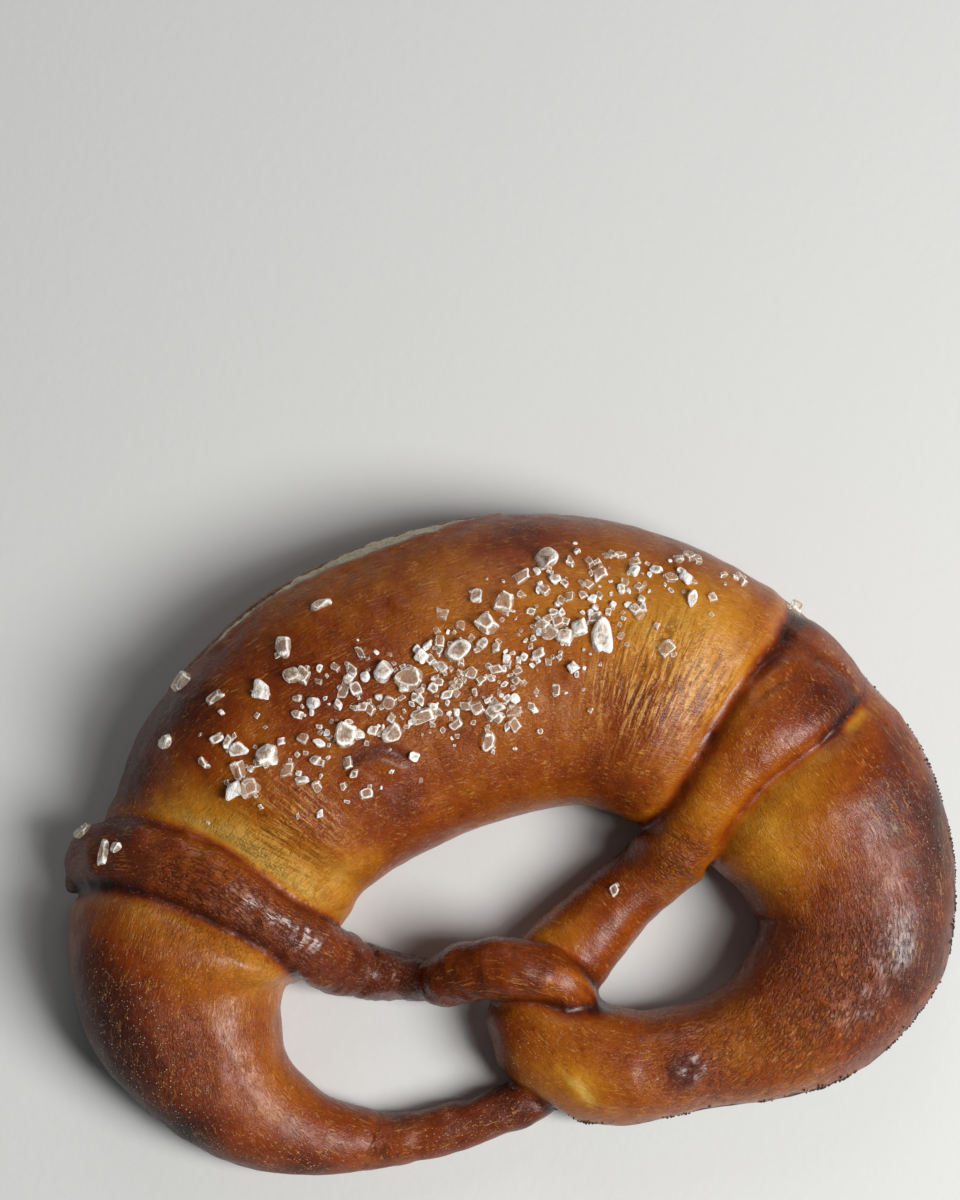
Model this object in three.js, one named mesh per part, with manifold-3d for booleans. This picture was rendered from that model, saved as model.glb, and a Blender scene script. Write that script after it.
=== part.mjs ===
// A soft pretzel, baked brown in lye: one rope of dough, thick in its belly and thin in its arms, with the
// arms wound once round each other and their ends pressed onto the belly.
//
// Millimetres, +Z up. The pretzel lies flat on z = 0 with the origin under the middle of its outline, +Y
// towards the belly and -Y towards the low side of the loops. The rope is modelled as three stretches that
// run into each other, and the stretches are joined into one solid.
import * as THREE from "three";
import { mergeVertices } from "three/addons/utils/BufferGeometryUtils.js";
import Module from "manifold-3d";

// Driving dimensions of the rope's cross-section, as shares of its width and height there.
const SIDE_AT = 0.34; // height of the widest line
const FOOT = 0.74; // width of the flat foot
const FULLNESS = 2.25; // 2 is an ellipse, and more is squarer

// Driving dimensions of the facets.
const RING_STEP = 3.2; // along the rope
const TOP_FACETS = 14; // over the crown, side to side
const HEEL_FACETS = 3; // round each lower edge
const CAP_RINGS = 4; // in a rounded end

const CRUST = { color: 0x8f4413, roughness: 0.38, metalness: 0 };

// The route of the rope, as hand-laid places along it. Each row holds x and y of the rope's middle, its
// width, its height, and how high its foot is above the table.

// The left arm: it leaves the low side of the left lobe, goes under the right arm, winds round it, and
// ends as a flat band over the left lobe.
const LEFT_ARM = [
  [-35.6, -41.2, 9.6, 9.0, 0], // inside the thin end of the ring
  [-26.9, -43.0, 8.3, 8.0, 0],
  [-8.6, -43.0, 8.2, 8.0, 0],
  [-0.1, -40.6, 8.2, 8.0, 0], // under the right arm
  [5.4, -35.4, 8.4, 8.0, 2.5],
  [4.4, -27.6, 8.8, 8.0, 7.5], // comes up in the corner of the right hole
  [0.6, -23.2, 9.4, 8.5, 11.0],
  [-4.6, -21.0, 10.4, 9.5, 10.5], // crown of the twist, over the right arm
  [-9.9, -19.8, 10.0, 9.5, 6.5],
  [-16.1, -19.2, 8.2, 9.0, 1.0],
  [-29.0, -13.4, 9.8, 9.0, 1.0],
  [-37.8, -4.6, 11.3, 7.5, 13.6], // climbs the left lobe
  [-46.2, 5.8, 12.4, 6.5, 19.6],
  [-51.4, 10.4, 13.3, 6.2, 19.2], // over the top of the lobe
  [-57.6, 13.6, 13.7, 6.0, 17.4],
  [-62.6, 15.6, 13.4, 6.0, 13.6],
  [-65.8, 16.2, 11.6, 5.5, 9.0],
  [-67.4, 15.4, 7.0, 4.5, 5.0], // the end, pressed onto the outer side
];

// The ring: left lobe, belly, right lobe and the thick start of the right arm.
const RING = [
  [-33.1, -41.9, 9.2, 8.5, 0],
  [-44.9, -36.9, 14.4, 12.5, 0],
  [-54.5, -26.9, 22.6, 18.0, 0],
  [-58.0, -11.4, 34.2, 23.5, 0],
  [-55.6, -2.8, 40.2, 26.0, 0],
  [-49.8, 5.0, 42.6, 22.8, 0], // pressed down by the end of the left arm
  [-43.8, 11.4, 44.2, 23.4, 0],
  [-36.6, 18.3, 47.4, 29.0, 0],
  [-27.1, 23.9, 49.6, 30.5, 0],
  [-15.0, 27.8, 52.0, 31.0, 0],
  [-1.3, 29.4, 52.4, 31.0, 0], // middle of the belly
  [12.9, 28.3, 51.4, 30.5, 0],
  [25.8, 24.2, 49.6, 30.0, 0],
  [36.8, 16.6, 48.0, 29.5, 0],
  [45.2, 7.6, 45.6, 24.4, 0], // pressed down by the end of the right arm
  [51.2, -1.5, 42.4, 23.6, 0],
  [54.9, -10.2, 40.2, 25.5, 0],
  [56.2, -19.7, 37.4, 24.0, 0],
  [55.0, -28.4, 34.6, 23.0, 0], // right lobe
  [51.4, -35.4, 32.2, 21.5, 0],
  [38.5, -43.3, 25.2, 18.5, 0],
  [21.1, -44.2, 18.4, 16.0, 0],
  [7.6, -41.2, 19.4, 16.5, 0],
  [0.0, -33.6, 20.4, 16.0, 0],
  [-1.2, -29.4, 19.0, 15.0, 0], // the bend, where the arm turns back on itself
];

// The right arm: from the bend under the twist up to its end on the right shoulder of the belly.
const RIGHT_ARM = [
  [-0.6, -28.4, 15.0, 12.5, 0],
  [3.7, -23.4, 16.0, 12.5, 0],
  [17.6, -15.4, 13.0, 12.5, 0],
  [25.4, -12.0, 12.4, 12.0, 2.0],
  [32.4, -7.4, 12.4, 10.5, 8.6], // climbs the right lobe
  [38.4, -2.2, 12.6, 8.5, 16.0],
  [44.0, 2.0, 14.0, 7.5, 19.4],
  [49.8, 5.4, 17.0, 7.0, 20.0], // over the top of the lobe
  [54.8, 7.8, 19.2, 6.5, 19.0],
  [58.6, 9.6, 19.6, 6.0, 17.4],
];

// The right arm's very end, pressed out thin and wide down the outer side of the belly.
const RIGHT_END = [
  [50.4, 5.6, 14.0, 6.0, 19.4],
  [55.6, 9.2, 18.0, 6.0, 18.2],
  [59.8, 11.4, 22.0, 5.8, 15.6],
  [63.0, 12.8, 23.0, 5.2, 11.0],
];

// The outline of the rope's cross-section, as [across, up] points that run counter-clockwise.
function section(width, height) {
  const half = width / 2;
  const side = height * SIDE_AT;
  const foot = half * FOOT;
  const power = 2 / FULLNESS;
  const points = [];
  for (let i = 0; i <= TOP_FACETS; i++) {
    const angle = (Math.PI * i) / TOP_FACETS;
    const across = Math.sign(Math.cos(angle)) * Math.abs(Math.cos(angle)) ** power;
    points.push([half * across, side + (height - side) * Math.sin(angle) ** power]);
  }
  const heel = [];
  for (let i = 1; i <= HEEL_FACETS; i++) {
    const angle = (Math.PI / 2) * (i / HEEL_FACETS);
    heel.push([foot + (half - foot) * Math.cos(angle), side * (1 - Math.sin(angle))]);
  }
  heel.forEach(([across, up]) => points.push([-across, up]));
  heel.reverse().forEach(([across, up]) => points.push([across, up]));
  return points;
}

// Places along a stretch, close enough together for its rings: where the middle of the foot is, which way
// the rope runs, and its width and height.
function placesAlong(rows) {
  const middle = new THREE.CatmullRomCurve3(rows.map(([x, y, , , lift]) => new THREE.Vector3(x, y, lift)));
  const sizes = new THREE.CatmullRomCurve3(rows.map(([, , w, h]) => new THREE.Vector3(w, h, 0)));
  const places = [];
  const spans = rows.length - 1;
  for (let span = 0; span < spans; span++) {
    const [x0, y0] = rows[span];
    const [x1, y1] = rows[span + 1];
    const steps = Math.max(1, Math.round(Math.hypot(x1 - x0, y1 - y0) / RING_STEP));
    const last = span === spans - 1 ? steps : steps - 1;
    for (let i = 0; i <= last; i++) {
      const t = (span + i / steps) / spans;
      const along = middle.getTangent(t);
      const size = sizes.getPoint(t);
      const at = middle.getPoint(t);
      at.z = Math.max(at.z, 0);
      places.push({ at, along, width: size.x, height: size.y });
    }
  }
  return places;
}

// The level direction across the rope, and the direction out of its top.
const acrossOf = (along) => new THREE.Vector3(along.y, -along.x, 0).normalize();
const upOf = (along) => acrossOf(along).cross(along);

// The same places with a rounded end before the first and after the last.
function withRoundEnds(places) {
  const cap = (place, direction) => {
    const rings = [];
    const reach = (Math.min(place.width, place.height) / 2) * direction;
    for (let i = 1; i <= CAP_RINGS; i++) {
      const angle = (Math.PI / 2) * (i / (CAP_RINGS + 0.4));
      const shrink = Math.cos(angle);
      const at = place.at.clone().addScaledVector(place.along, reach * Math.sin(angle));
      at.addScaledVector(upOf(place.along), place.height * SIDE_AT * (1 - shrink));
      rings.push({ ...place, at, width: place.width * shrink, height: place.height * shrink });
    }
    return rings;
  };
  const first = cap(places[0], -1).reverse();
  const last = cap(places[places.length - 1], 1);
  return [...first, ...places, ...last];
}

// A closed solid through the rings of a stretch.
function stretch(rows, wasm) {
  const rings = withRoundEnds(placesAlong(rows));
  const corners = [];
  for (const { at, along, width, height } of rings) {
    const [side, up] = [acrossOf(along), upOf(along)];
    for (const [x, z] of section(width, height)) {
      corners.push(...at.clone().addScaledVector(side, x).addScaledVector(up, z));
    }
  }
  const count = corners.length / 3 / rings.length;
  const ends = [rings[0], rings[rings.length - 1]].map(({ at, along, height }) => {
    corners.push(...at.clone().addScaledVector(upOf(along), height * SIDE_AT));
    return corners.length / 3 - 1;
  });
  const faces = [];
  for (let ring = 0; ring < rings.length - 1; ring++) {
    for (let i = 0; i < count; i++) {
      const here = ring * count;
      const next = (i + 1) % count;
      faces.push(here + i, here + count + next, here + next);
      faces.push(here + i, here + count + i, here + count + next);
    }
  }
  const lastRing = (rings.length - 1) * count;
  for (let i = 0; i < count; i++) {
    const next = (i + 1) % count;
    faces.push(ends[0], i, next);
    faces.push(ends[1], lastRing + next, lastRing + i);
  }
  const shape = new THREE.BufferGeometry();
  shape.setAttribute("position", new THREE.Float32BufferAttribute(corners, 3));
  shape.setIndex(faces);
  const merged = mergeVertices(shape, 1e-4);
  return new wasm.Manifold(
    new wasm.Mesh({
      numProp: 3,
      vertProperties: new Float32Array(merged.attributes.position.array),
      triVerts: new Uint32Array(merged.index.array),
    }),
  );
}

// The stretches joined into the one piece of dough.
function dough(wasm) {
  const whole = [RING, RIGHT_ARM, RIGHT_END, LEFT_ARM]
    .map((rows) => stretch(rows, wasm))
    .reduce((joined, next) => joined.add(next));
  const mesh = whole.getMesh();
  const shape = new THREE.BufferGeometry();
  shape.setAttribute("position", new THREE.BufferAttribute(new Float32Array(mesh.vertProperties), 3));
  shape.setIndex(new THREE.BufferAttribute(new Uint32Array(mesh.triVerts), 1));
  shape.computeVertexNormals();
  return shape;
}

const wasm = await Module();
wasm.setup();

const pretzel = new THREE.Mesh(dough(wasm), new THREE.MeshStandardMaterial(CRUST));
pretzel.name = "pretzel";

const group = new THREE.Group();
group.add(pretzel);
export default group;
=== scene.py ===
"""A soft pretzel: a glossy browned skin with a torn pale seam on its outer side, coarse salt on top, and
burnt crumbs along the rim that was hottest.

Lengths inside this file are millimetres until a piece is made, because the rope of dough is laid out in
millimetres. Every object that is made is in metres, in the frame of the construction model.
"""
import math

import bpy
import numpy as np
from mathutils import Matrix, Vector
from mathutils.bvhtree import BVHTree


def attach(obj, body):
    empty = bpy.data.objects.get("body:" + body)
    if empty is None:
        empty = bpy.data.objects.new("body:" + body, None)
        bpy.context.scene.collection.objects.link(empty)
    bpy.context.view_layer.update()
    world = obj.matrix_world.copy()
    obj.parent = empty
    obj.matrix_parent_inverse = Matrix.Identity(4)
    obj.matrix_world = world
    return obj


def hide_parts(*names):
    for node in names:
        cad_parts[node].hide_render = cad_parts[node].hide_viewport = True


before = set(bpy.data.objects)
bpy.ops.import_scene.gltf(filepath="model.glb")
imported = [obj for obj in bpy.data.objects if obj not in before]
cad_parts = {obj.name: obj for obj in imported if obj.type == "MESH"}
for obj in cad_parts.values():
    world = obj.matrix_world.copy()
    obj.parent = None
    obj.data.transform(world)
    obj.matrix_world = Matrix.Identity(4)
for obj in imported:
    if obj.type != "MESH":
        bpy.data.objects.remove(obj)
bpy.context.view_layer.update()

bl_info = {
    "name": "Soft pretzel",
    "version": (1, 0, 0),
    "blender": (4, 5, 0),
    "location": "View3D > Sidebar > Pretzel",
    "description": "Makes a lye-browned soft pretzel with coarse salt",
    "category": "Object",
}

MM = 0.001

# ---------------------------------------------------------------------------------------------------
# The rope of dough, as the construction model lays it: x and y of its middle, its width, its height,
# and how high its foot is above the table.

LEFT_ARM = [
    (-35.6, -41.2, 9.6, 9.0, 0),  # inside the thin end of the ring
    (-26.9, -43.0, 8.3, 8.0, 0),
    (-8.6, -43.0, 8.2, 8.0, 0),
    (-0.1, -40.6, 8.2, 8.0, 0),  # under the right arm
    (5.4, -35.4, 8.4, 8.0, 2.5),
    (4.4, -27.6, 8.8, 8.0, 7.5),  # comes up in the corner of the right hole
    (0.6, -23.2, 9.4, 8.5, 11.0),
    (-4.6, -21.0, 10.4, 9.5, 10.5),  # crown of the twist, over the right arm
    (-9.9, -19.8, 10.0, 9.5, 6.5),
    (-16.1, -19.2, 8.2, 9.0, 1.0),
    (-29.0, -13.4, 9.8, 9.0, 1.0),
    (-37.8, -4.6, 11.3, 7.5, 13.6),  # climbs the left lobe
    (-46.2, 5.8, 12.4, 6.5, 19.6),
    (-51.4, 10.4, 13.3, 6.2, 19.2),  # over the top of the lobe
    (-57.6, 13.6, 13.7, 6.0, 17.4),
    (-62.6, 15.6, 13.4, 6.0, 13.6),
    (-65.8, 16.2, 11.6, 5.5, 9.0),
    (-67.4, 15.4, 7.0, 4.5, 5.0),  # the end, pressed onto the outer side
]

RING = [
    (-33.1, -41.9, 9.2, 8.5, 0),
    (-44.9, -36.9, 14.4, 12.5, 0),
    (-54.5, -26.9, 22.6, 18.0, 0),
    (-58.0, -11.4, 34.2, 23.5, 0),
    (-55.6, -2.8, 40.2, 26.0, 0),
    (-49.8, 5.0, 42.6, 22.8, 0),  # pressed down by the end of the left arm
    (-43.8, 11.4, 44.2, 23.4, 0),
    (-36.6, 18.3, 47.4, 29.0, 0),
    (-27.1, 23.9, 49.6, 30.5, 0),
    (-15.0, 27.8, 52.0, 31.0, 0),
    (-1.3, 29.4, 52.4, 31.0, 0),  # middle of the belly
    (12.9, 28.3, 51.4, 30.5, 0),
    (25.8, 24.2, 49.6, 30.0, 0),
    (36.8, 16.6, 48.0, 29.5, 0),
    (45.2, 7.6, 45.6, 24.4, 0),  # pressed down by the end of the right arm
    (51.2, -1.5, 42.4, 23.6, 0),
    (54.9, -10.2, 40.2, 25.5, 0),
    (56.2, -19.7, 37.4, 24.0, 0),
    (55.0, -28.4, 34.6, 23.0, 0),  # right lobe
    (51.4, -35.4, 32.2, 21.5, 0),
    (38.5, -43.3, 25.2, 18.5, 0),
    (21.1, -44.2, 18.4, 16.0, 0),
    (7.6, -41.2, 19.4, 16.5, 0),
    (0.0, -33.6, 20.4, 16.0, 0),
    (-1.2, -29.4, 19.0, 15.0, 0),  # the bend, where the arm turns back on itself
]

RIGHT_ARM = [
    (-0.6, -28.4, 15.0, 12.5, 0),
    (3.7, -23.4, 16.0, 12.5, 0),
    (17.6, -15.4, 13.0, 12.5, 0),
    (25.4, -12.0, 12.4, 12.0, 2.0),
    (32.4, -7.4, 12.4, 10.5, 8.6),  # climbs the right lobe
    (38.4, -2.2, 12.6, 8.5, 16.0),
    (44.0, 2.0, 14.0, 7.5, 19.4),
    (49.8, 5.4, 17.0, 7.0, 20.0),  # over the top of the lobe
    (54.8, 7.8, 19.2, 6.5, 19.0),
    (58.6, 9.6, 19.6, 6.0, 17.4),
]

# The right arm's very end, pressed out thin and wide.
RIGHT_END = [
    (50.4, 5.6, 14.0, 6.0, 19.4),
    (55.6, 9.2, 18.0, 6.0, 18.2),
    (59.8, 11.4, 22.0, 5.8, 15.6),
    (63.0, 12.8, 23.0, 5.2, 11.0),
]

# The cross-section, as shares of its width and height.
SIDE_AT = 0.34  # height of the widest line
FOOT = 0.74  # width of the flat foot
FULLNESS = 2.25  # 2 is an ellipse, and more is squarer

# How finely the rope is swept before its stretches are joined.
STEP = 0.8
CROWN_POINTS = 56
HEEL_POINTS = 10
CAP_RINGS = 8

# ---------------------------------------------------------------------------------------------------
# What the baker's hands and the oven did, as places on the dough in millimetres.

# Where the skin stays pale or goes dark: x, y, reach, and how much darker (or, below 0, more golden).
BAKED_SPOTS = [
    # beside the left arm's band
    (-52.0, 22.5, 6.0, -0.16),
    (-47.0, 17.0, 6.5, -0.30),
    (-41.0, 10.5, 6.0, -0.40),
    (-34.5, 3.0, 6.0, -0.40),
    (-27.5, -1.5, 6.0, -0.24),
    (-61.0, 4.0, 5.0, -0.16),
    (-52.0, -2.0, 6.0, -0.16),
    (-43.5, -9.0, 5.5, -0.22),
    # the belly
    (35.0, 29.0, 12.0, -0.24),
    (46.0, 24.0, 9.0, -0.26),
    (40.0, 13.0, 8.0, -0.12),
    (22.0, 35.0, 8.0, -0.10),
    (4.0, 38.0, 9.0, -0.10),
    (6.0, 26.0, 10.0, -0.08),
    (-12.0, 38.0, 8.0, 0.08),
    (-30.0, 37.0, 10.0, 0.10),
    (-22.0, 28.0, 7.0, 0.08),
    (20.0, 46.0, 7.0, 0.20),
    (46.0, 38.0, 7.0, 0.14),
    (-44.0, 36.0, 8.0, 0.30),
    (-56.0, 29.0, 8.0, 0.36),
    (-14.0, 9.0, 9.0, 0.14),
    (24.0, 6.0, 9.0, 0.10),
    # the right lobe
    (43.0, -12.0, 6.0, -0.26),
    (43.0, -19.0, 6.0, -0.22),
    (52.0, -6.0, 6.0, -0.14),
    (70.0, -13.0, 10.0, 0.26),
    (70.0, -28.0, 12.0, 0.30),
    (60.0, -46.0, 12.0, 0.26),
    (40.0, -30.0, 8.0, 0.14),
    # the left lobe
    (-70.0, -4.0, 9.0, 0.34),
    (-71.0, -18.0, 10.0, 0.36),
    (-64.0, -32.0, 9.0, 0.36),
    (-47.0, -44.0, 7.0, 0.20),
    (-48.0, -24.0, 6.0, -0.06),
    (-36.0, -42.0, 6.0, 0.08),
    # the bend of the right arm
    (-1.0, -41.0, 5.0, -0.22),
    (3.0, -44.0, 4.0, -0.22),
    (-7.0, -33.0, 4.0, 0.10),
    (18.0, -36.0, 8.0, 0.06),
    # the thin stretch of the right arm
    (3.0, -17.0, 5.0, -0.20),
    (32.0, -7.0, 5.0, -0.22),
    (37.0, -3.0, 5.0, -0.12),
    (60.0, 6.0, 6.0, 0.24),
    (52.0, 10.0, 5.0, -0.04),
]

# The torn seam on the outer side of the belly: places along it, how far in from the outline the upper
# lip stands there, and the height of the lower lip.
TEAR = [
    (-43.0, 37.0, 0.6, 16.0),
    (-38.0, 41.0, 1.6, 16.8),
    (-32.0, 44.0, 2.0, 17.2),
    (-26.0, 46.3, 2.1, 17.0),
    (-20.0, 48.5, 2.3, 15.5),
    (-10.0, 51.0, 2.7, 13.5),
    (-1.0, 53.0, 2.8, 13.0),
    (5.0, 53.5, 2.4, 14.0),
    (11.0, 54.0, 1.6, 15.0),
    (17.5, 54.5, 0.4, 16.5),
]

FAR_FROM_TEAR = -9  # what the rest of the dough carries as its distance inside the tear

# Creases pressed across the thin stretch of the left arm: x, y, depth and width.
NECKS = [
    (-28.3, -9.4, 1.0, 1.0),
    (-14.8, -16.6, 1.1, 0.9),
    (-21.5, -16.5, 0.35, 0.8),
    (-6.0, -20.0, 0.3, 1.6),
]

# Where fine parallel ridges cross the belly: x, y, reach and strength.
RIB_FIELDS = [
    (30.0, 16.5, 9.0, 1.0),
    (40.0, 13.0, 7.0, 0.9),
    (36.0, 21.0, 7.0, 0.7),
    (-36.0, 8.0, 7.5, 0.9),
    (-30.0, 12.0, 6.0, 0.7),
]

# Short golden marks: which stretch they are on (0 ring, 1 right arm, 2 left arm), a line, width, strength.
GOLD_MARKS = [
    (0, [(0.9, -42.0), (2.6, -46.2)], 0.6, 0.34),
    (0, [(-1.0, -39.0), (0.2, -42.0)], 0.4, 0.22),
    (2, [(1.2, -24.6), (5.2, -27.0), (7.8, -30.8)], 0.4, 0.40),
    (2, [(3.4, -23.8), (6.8, -26.2), (9.0, -29.6)], 0.4, 0.40),
    (2, [(0.0, -26.0), (4.0, -28.4), (6.4, -31.6)], 0.4, 0.30),
    (0, [(61.6, 0.4), (64.8, 2.1)], 1.0, 0.60),
    (0, [(60.0, 4.0), (55.0, 2.4), (50.0, -0.6)], 1.3, 0.14),
    (0, [(-20.0, 3.0), (-26.0, 1.5)], 1.8, 0.16),
]

# Where the skin is crumpled like leather.
LEATHER_FIELDS = [
    (-52.0, 9.0, 7.0, 0.8),
    (-44.0, 2.0, 8.0, 1.0),
    (-36.0, -6.0, 6.0, 0.9),
    (-22.0, -16.0, 7.0, 0.8),
    (28.0, -13.0, 5.0, 0.7),
    (50.5, -38.5, 11.0, 1.0),
    (40.0, -46.0, 9.0, 0.6),
    (22.0, -47.0, 9.0, 0.6),
    (-1.0, 24.0, 10.0, 0.45),
    (-58.0, -20.0, 7.0, 0.5),
]

# Where the skin is dusted with fine pale specks.
FLECK_FIELDS = [
    (-70.0, -10.0, 12.0, 1.0),
    (-66.0, -28.0, 12.0, 1.0),
    (-48.0, -46.0, 10.0, 0.9),
    (-62.0, 26.0, 12.0, 0.6),
    (-8.0, -36.0, 5.0, 0.9),
    (72.0, -24.0, 12.0, 0.5),
    (60.0, -48.0, 10.0, 0.4),
    (-20.0, -46.0, 10.0, 0.5),
]

# Folds: the outline of the right arm's thick end, the fold where that arm starts to climb, a dent beside
# its end, and a scar on the belly. A round blister as x, y and reach, and the pinched point at the end of
# the left arm as x, y and height.
THICK_END = [(46.8, 12.8), (53.6, 15.2), (58.0, 14.6), (62.4, 11.6), (66.2, 7.3)]
ARM_FOLD = [(24.5, -6.5), (27.0, -9.0), (30.5, -12.5), (33.5, -17.0)]
END_DENT = [(48.5, 9.5), (52.0, 10.8), (55.0, 11.2)]
SCAR = [(-21.0, 17.4), (-17.0, 18.9), (-13.5, 18.4), (-9.2, 15.2)]
BLISTER = (18.8, -45.6, 3.2)
BAND_TIP = (-70.4, 14.6, 7.5)

# Where an arm's end is pressed so well onto the dough that the line between them is nearly gone: x, y,
# reach, and how nearly.
MERGED_SEAMS = [
    (66.5, 7.0, 6.0, 0.9),
    (63.5, 15.0, 6.0, 0.9),
    (-66.0, 20.5, 4.0, 0.7),
    (-59.0, 21.0, 5.0, 0.5),
]

# The larger grains of salt: x, y, length, width and turn in degrees.
LARGE_GRAINS = [
    (21.5, 41.0, 4.0, 3.8, 10),
    (26.0, 26.0, 5.6, 3.2, 75),
    (-24.5, 39.5, 3.9, 2.7, 80),
    (-24.5, 34.5, 3.0, 2.6, 20),
    (-22.5, 34.0, 2.6, 2.4, 50),
    (-37.5, 35.0, 3.1, 2.3, 15),
    (-30.0, 33.5, 3.2, 2.4, 70),
    (-16.5, 30.0, 3.8, 1.7, 55),
    (-10.0, 30.5, 3.4, 3.0, 30),
    (-6.0, 28.0, 4.2, 3.6, 15),
    (3.0, 30.5, 3.8, 3.2, 40),
    (12.5, 36.0, 3.6, 3.2, 60),
    (8.5, 33.0, 3.0, 2.7, 25),
    (8.5, 38.5, 2.6, 2.0, 75),
    (16.5, 39.5, 3.2, 2.1, 15),
    (-36.5, 25.5, 3.3, 2.4, 15),
    (-32.0, 23.0, 3.5, 3.1, 65),
    (-36.0, 19.0, 3.5, 3.2, 5),
    (-38.8, 19.5, 2.8, 2.6, 80),
    (-37.0, 22.3, 3.3, 2.0, 85),
    (-29.5, 20.0, 2.7, 2.3, 65),
    (-42.5, 40.0, 3.4, 2.8, 40),
    (-47.5, 31.0, 2.9, 2.3, 20),
    (-18.8, 22.5, 4.0, 3.6, 60),
    (-11.5, 20.5, 3.6, 3.0, 30),
    (-6.0, 22.0, 4.2, 2.2, 0),
    (3.2, 15.2, 3.4, 2.4, 80),
    (18.0, 29.0, 3.0, 2.5, 20),
    (20.5, 27.6, 2.9, 2.6, 55),
    (23.0, 28.4, 2.8, 2.4, 80),
    (36.0, 21.0, 3.0, 2.3, 20),
    (52.5, 29.5, 2.6, 2.2, 75),
    (61.2, 23.3, 3.0, 2.4, 35),
    (-65.8, 21.6, 2.9, 2.6, 75),
    (-62.8, 16.8, 4.2, 1.8, 60),
    (-60.5, 16.6, 2.0, 1.8, 20),
    (17.0, -13.5, 1.9, 1.7, 30),
    (-16.5, 45.0, 3.2, 2.2, 25),
]

# Where the rest of the salt fell: x, y, reach along x, reach along y, and how many grains.
SALT_PATCHES = [
    (-6.0, 24.5, 11.0, 5.5, 70),
    (6.0, 22.0, 8.0, 6.0, 40),
    (3.0, 30.0, 6.0, 5.0, 26),
    (20.0, 31.0, 8.0, 4.5, 34),
    (33.0, 31.0, 9.0, 5.0, 36),
    (28.0, 39.0, 10.0, 3.0, 16),
    (-35.0, 24.0, 8.0, 5.0, 16),
    (-20.0, 24.5, 6.0, 4.0, 18),
    (13.0, 23.0, 8.0, 6.0, 26),
    (-22.0, 15.0, 8.0, 4.0, 12),
    (42.0, 33.0, 6.0, 5.0, 14),
    (-15.0, 33.0, 9.0, 4.0, 12),
    (0.0, 26.0, 34.0, 12.0, 44),
]


# ---------------------------------------------------------------------------------------------------
# Sweeping the rope


def smooth_route(knots, share):
    """Points on a centripetal Catmull-Rom curve through the knots, for shares from 0 to 1 of its spans."""
    spans = len(knots) - 1
    place = np.clip(share, 0, 1) * spans
    span = np.minimum(place.astype(int), spans - 1)
    part = (place - span)[:, None]
    padded = np.vstack([2 * knots[0] - knots[1], knots, 2 * knots[-1] - knots[-2]])
    a, b, c, d = (padded[span + i] for i in range(4))
    before, here, after = (
        np.sqrt(np.maximum(np.linalg.norm(stop - start, axis=1), 1e-6))[:, None]
        for start, stop in ((a, b), (b, c), (c, d))
    )
    leave = ((b - a) / before - (c - a) / (before + here) + (c - b) / here) * here
    arrive = ((c - b) / here - (d - b) / (here + after) + (d - c) / after) * here
    square = 3 * (c - b) - 2 * leave - arrive
    cube = 2 * (b - c) + leave + arrive
    return b + leave * part + square * part**2 + cube * part**3


def unit(vectors):
    return vectors / np.maximum(np.linalg.norm(vectors, axis=-1, keepdims=True), 1e-9)


def ease(low, high, value):
    """0 below low, 1 above high, and a smooth step between."""
    share = np.clip((value - low) / (high - low), 0, 1)
    return share * share * (3 - 2 * share)


def bell(away, width=1.0, power=2):
    """1 where away is 0, and next to nothing past twice the width. A higher power is flatter on top."""
    return np.exp(-((away / width) ** power))


def section():
    """The rope's cross-section for a width and height of 1, as (across, share of the way up) pairs."""
    angle = np.linspace(0, math.pi, CROWN_POINTS + 1)
    power = 2 / FULLNESS
    across = 0.5 * np.sign(np.cos(angle)) * np.abs(np.cos(angle)) ** power
    up = SIDE_AT + (1 - SIDE_AT) * np.maximum(np.sin(angle), 0) ** power
    turn = np.linspace(0, math.pi / 2, HEEL_POINTS + 1)[1:]
    heel = 0.5 * (FOOT + (1 - FOOT) * np.cos(turn))
    rise = SIDE_AT * (1 - np.sin(turn))
    left = np.column_stack([-heel, rise])
    right = np.column_stack([heel, rise])[::-1]
    return np.vstack([np.column_stack([across, up]), left, right])


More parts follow.
